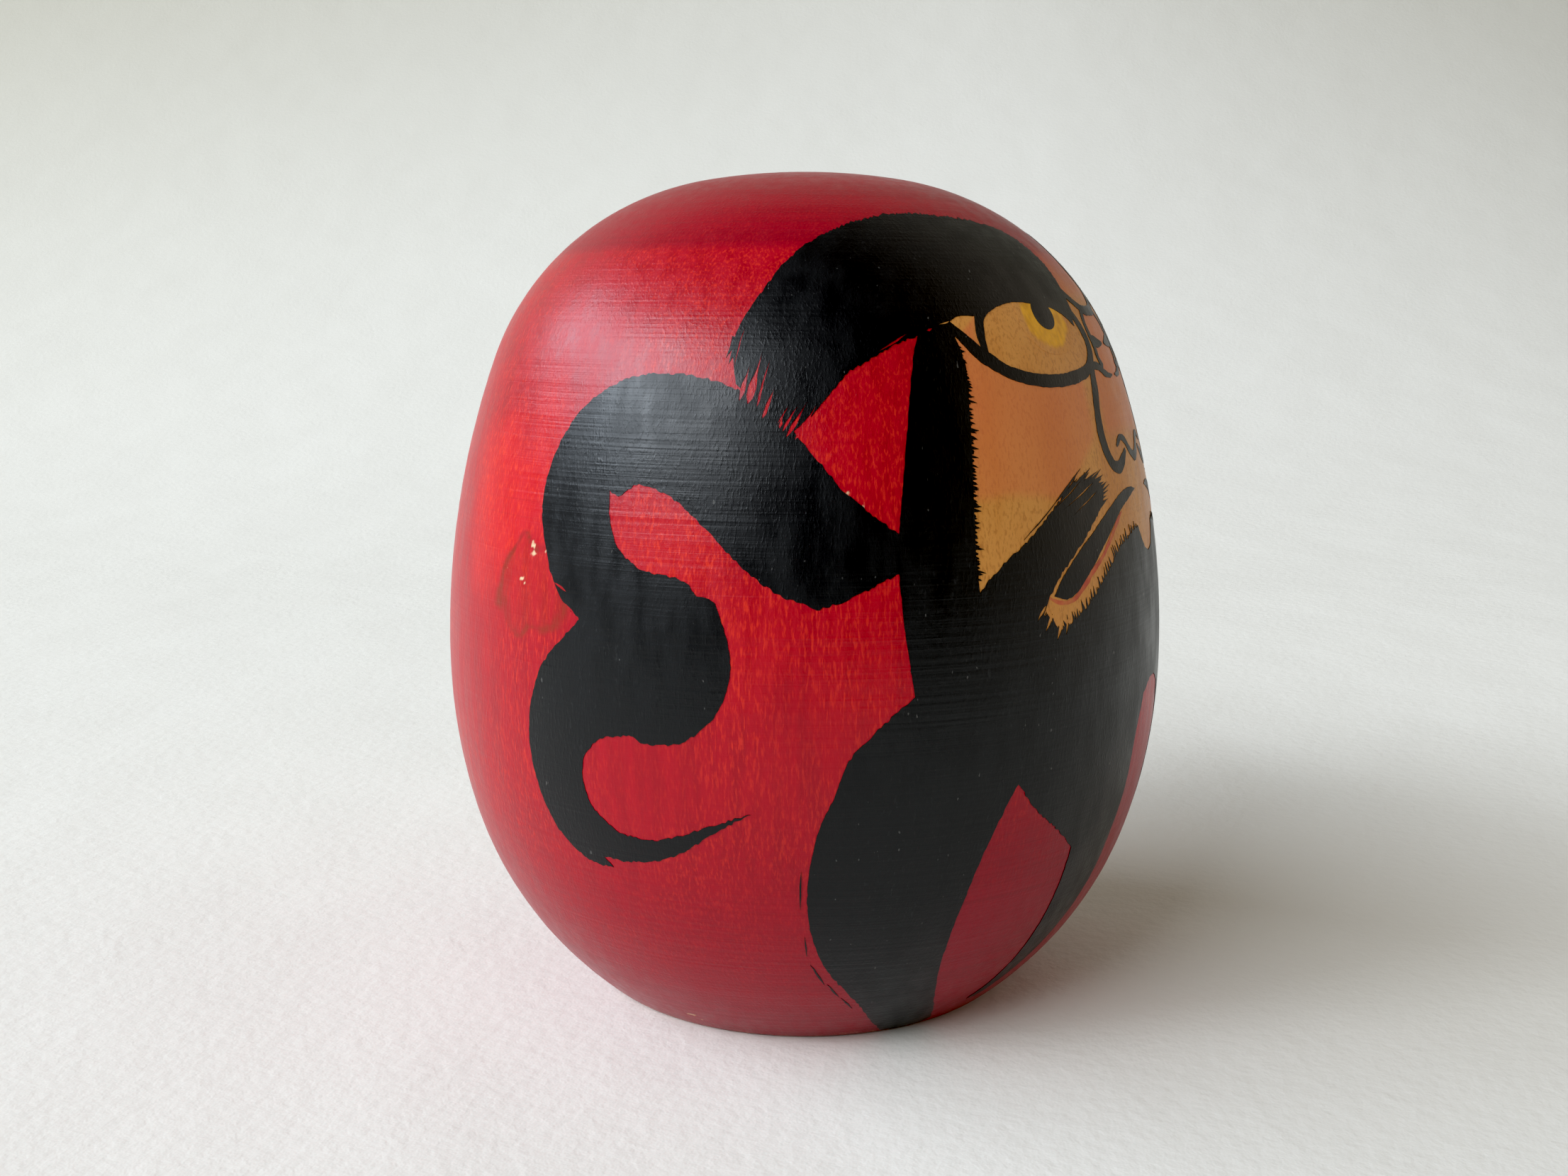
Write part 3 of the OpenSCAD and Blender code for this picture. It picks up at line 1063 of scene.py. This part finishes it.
def build_paint():
    ochre = paint_material("eye_ochre", OCHRE, OCHRE_DARK, share=0.94)
    lip_red = paint_material("lip_red", LIP_RED, LIP_RED_DARK, share=0.85)
    iris = outline_of(
        [(27.4, 85.25), (27.6, 83.0), (24.6, 80.4), (20.2, 79.7), (15.8, 80.4), (12.9, 83.4)],
        [(12.9, 83.4), (16.5, 84.6), (21.9, 85.1), (27.4, 85.25)],
        rough=0.0,
    )
    lip = stroke(
        [(30.9, 54.3, 0.30), (28.5, 53.6, 0.45), (25.8, 53.8, 0.50), (24.0, 54.7, 0.60),
         (22.7, 55.7, 1.15), (21.4, 56.3, 0.65), (18.1, 57.9, 0.45), (14.8, 60.0, 0.55),
         (12.6, 61.3, 0.45), (10.6, 62.3, 0.15)], seed=63)
    looks = {"iris": (iris_strength, ochre, "eye_paint"), "lip": (lip_strength, lip_red, "dyed_wood")}
    for name, shape in both_sides([("iris", iris), ("lip", lip)]):
        paint_patch(name, shape, *looks[name.split("_")[0]])


# ---------------- the plug

def plug_rows():
    """The rows of the plug, from the middle of its underside out and up to its top: radius, height."""
    clearance, chamfer, pin_depth = 0.02, 0.6, 0.5
    radius, top = SEAT_RADIUS - clearance, SEAT_DEPTH - clearance
    face_radius = SEAT_RADIUS - chamfer
    face_rows = 90
    rows = []
    for i in range(1, face_rows + 1):
        r = face_radius * i / face_rows
        mark = 0.05 * (1 + math.sin(r * 5.3)) * smooth_step(0.2, 1.2, r)
        pin = pin_depth * math.exp(-((r / 0.8) ** 2))
        rim = smooth_step(face_radius, face_radius - 0.5, r)
        rows.append((r, (mark + pin) * rim))
    rows += [(radius, chamfer), (radius, SEAT_DEPTH * 0.5), (radius, top)]
    return rows + [(SEAT_RADIUS * k, top) for k in (0.8, 0.5, 0.2)]


def build_plug(material):
    """The turned disc under the foot, with the rings and the pin mark that the lathe left."""
    rows = np.array(plug_rows(), float)
    turns = np.arange(192) * 360 / 192
    u, z = np.meshgrid(turns, rows[:, 1])
    rings = turned_points(np.repeat(rows[:, :1], len(turns), 1), u, z).reshape(-1, 3)
    pin_end, top = 0.5, rows[-1, 1]
    points = np.concatenate([[(0, 0, pin_end)], rings, [(0, 0, top)]]) * MM
    faces = turned_faces(len(rows), len(turns))
    plug = mesh_object("turned_plug", points, faces, material)
    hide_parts("base_plug")


# ---------------- stage, lights, camera

CAMERA_TURN = -67.0
BLACK_LEVEL = 0.013


def toward_camera_frame():
    """Turns a frame whose -Y faces the camera into the frame of the part."""
    return Matrix.Rotation(math.radians(CAMERA_TURN), 4, "Z")


def paper_material():
    n = Nodes("pale_paper")
    cloud = n.noise(14, 14, 14, detail=3.0)
    # Painted shade: the paper is greyer and warmer higher up and farther to either side
    coordinates = n.add("TexCoord").outputs["Object"]
    across = toward_camera_frame() @ Vector((1.0, 0.0, 0.0))
    side = n.add("VectorMath", coordinates, tuple(across), operation="DOT_PRODUCT").outputs["Value"]
    side = n.math("ABSOLUTE", n.math("SUBTRACT", side, 0.12))
    height = n.add("SeparateXYZ", coordinates).outputs["Z"]
    far = n.math("MULTIPLY_ADD", side, 0.5, height)
    paper = n.mix(cloud, PAPER, PAPER_LIGHT)
    n.set(Base_Color=n.mix(n.range(far, 0.0, 0.90), paper, PAPER_FAR_SHADE))
    n.set(Roughness=0.9)
    fibre = n.noise(420, 420, 420, detail=3.0, roughness=0.6)
    wave = n.noise(28, 28, 28, detail=1.5)
    add_bump(n, n.math("MULTIPLY_ADD", wave, 5.0, fibre), 0.35, 0.0005)
    return n.material


def build_stage():
    """One sheet of paper that runs under the doll and curves up behind it."""
    flat_front, flat_back, bend, top = -400.0, 300.0, 900.0, 900.0
    bend_steps = 40
    profile = [(flat_front, 0.0), (flat_back, 0.0)]
    for i in range(1, bend_steps + 1):
        a = 90 * i / bend_steps
        profile.append((flat_back + bend * sind(a), bend * (1 - cosd(a))))
    profile.append((flat_back + bend, bend + top))
    half_width = 1500.0
    points = []
    for y, z in profile:
        points.append((-half_width, y, z))
        points.append((half_width, y, z))
    faces = [(2 * i, 2 * i + 1, 2 * i + 3, 2 * i + 2) for i in range(len(profile) - 1)]
    turn = toward_camera_frame()
    mesh = bpy.data.meshes.new("paper_sweep")
    mesh.from_pydata([turn @ (Vector(p) * MM) for p in points], [], faces)
    mesh.polygons.foreach_set("use_smooth", [True] * len(mesh.polygons))
    mesh.materials.append(paper_material())
    link(bpy.data.objects.new("paper_sweep", mesh))


def soft_panel(name, bearing, elevation, distance, spread, radiance, color):
    """A soft panel that aims at the doll, at a distance in metres.

    The bearing is measured from the camera's side towards the left. The spread is the
    half width and the half height of the panel, as seen from the doll.
    """
    way = Vector((-sind(bearing) * cosd(elevation), -cosd(bearing) * cosd(elevation), sind(elevation)))
    way = toward_camera_frame() @ way
    data = bpy.data.lights.new(name, "AREA")
    data.shape = "RECTANGLE"
    data.size = 2 * distance * math.tan(math.radians(spread[0]))
    data.size_y = 2 * distance * math.tan(math.radians(spread[1]))
    data.energy = radiance * math.pi * data.size * data.size_y
    data.color = color
    light = link(bpy.data.objects.new(name, data))
    light.location = Vector((0, 0, HEIGHT / 2 * MM)) + way * distance
    light.rotation_mode = "QUATERNION"
    light.rotation_quaternion = way.to_track_quat("Z", "Y")


def build_lights():
    soft_panel("window_left", bearing=86, elevation=32, distance=4.5, spread=(27, 11),
               radiance=7.7, color=(0.77, 0.88, 1.0))
    soft_panel("window_front_left", bearing=47, elevation=34, distance=3.2, spread=(21, 12),
               radiance=7.9, color=(0.86, 0.93, 1.0))
    build_room()


def build_room():
    """The dim room: darkest in front of the doll and overhead, paler on its far right side."""
    world = bpy.data.worlds.new("room")
    bpy.context.scene.world = world
    world.use_nodes = True
    tree = world.node_tree
    background = tree.nodes["Background"]
    background.inputs["Color"].default_value = (1.0, 0.90, 0.76, 1.0)
    direction = tree.nodes.new("ShaderNodeTexCoord").outputs["Generated"]
    toward = tree.nodes.new("ShaderNodeVectorMath")
    toward.operation = "DOT_PRODUCT"
    tree.links.new(direction, toward.inputs[0])
    toward.inputs[1].default_value = toward_camera_frame() @ Vector((0.86, 0.50, -0.04))
    level = tree.nodes.new("ShaderNodeMapRange")
    tree.links.new(toward.outputs["Value"], level.inputs["Value"])
    level.inputs["From Min"].default_value = 0.3
    level.inputs["From Max"].default_value = 1.0
    level.inputs["To Min"].default_value = 0.17
    level.inputs["To Max"].default_value = 0.84
    tree.links.new(level.outputs["Result"], background.inputs["Strength"])


def build_camera():
    data = bpy.data.cameras.new("camera")
    data.sensor_width = 36.0
    data.lens = 36.0
    data.clip_start, data.clip_end = 0.01, 20.0
    camera = link(bpy.data.objects.new("camera", data))
    pitch, yaw, roll = 9.99, 0.73, 0.15
    distance, height = 200.0, 84.2
    place = Matrix.Translation(Vector((0.0, -distance, height)) * MM)
    aim = Matrix.Rotation(math.radians(yaw), 4, "Z") @ Matrix.Rotation(math.radians(90 - pitch), 4, "X")
    camera.matrix_world = toward_camera_frame() @ place @ aim @ Matrix.Rotation(math.radians(roll), 4, "Z")
    bpy.context.scene.camera = camera


def build_exposure():
    """A plain display transform whose deepest tones go to black, as a camera records them."""
    view = bpy.context.scene.view_settings
    view.view_transform = "Standard"
    view.use_curve_mapping = True
    view.curve_mapping.black_level = (BLACK_LEVEL,) * 3
    view.curve_mapping.update()


# ---------------- build everything

build_camera()
build_exposure()
build_body(dyed_wood_material())
build_ink(ink_material())
build_paint()
build_plug(end_grain_material())
build_stage()
build_lights()
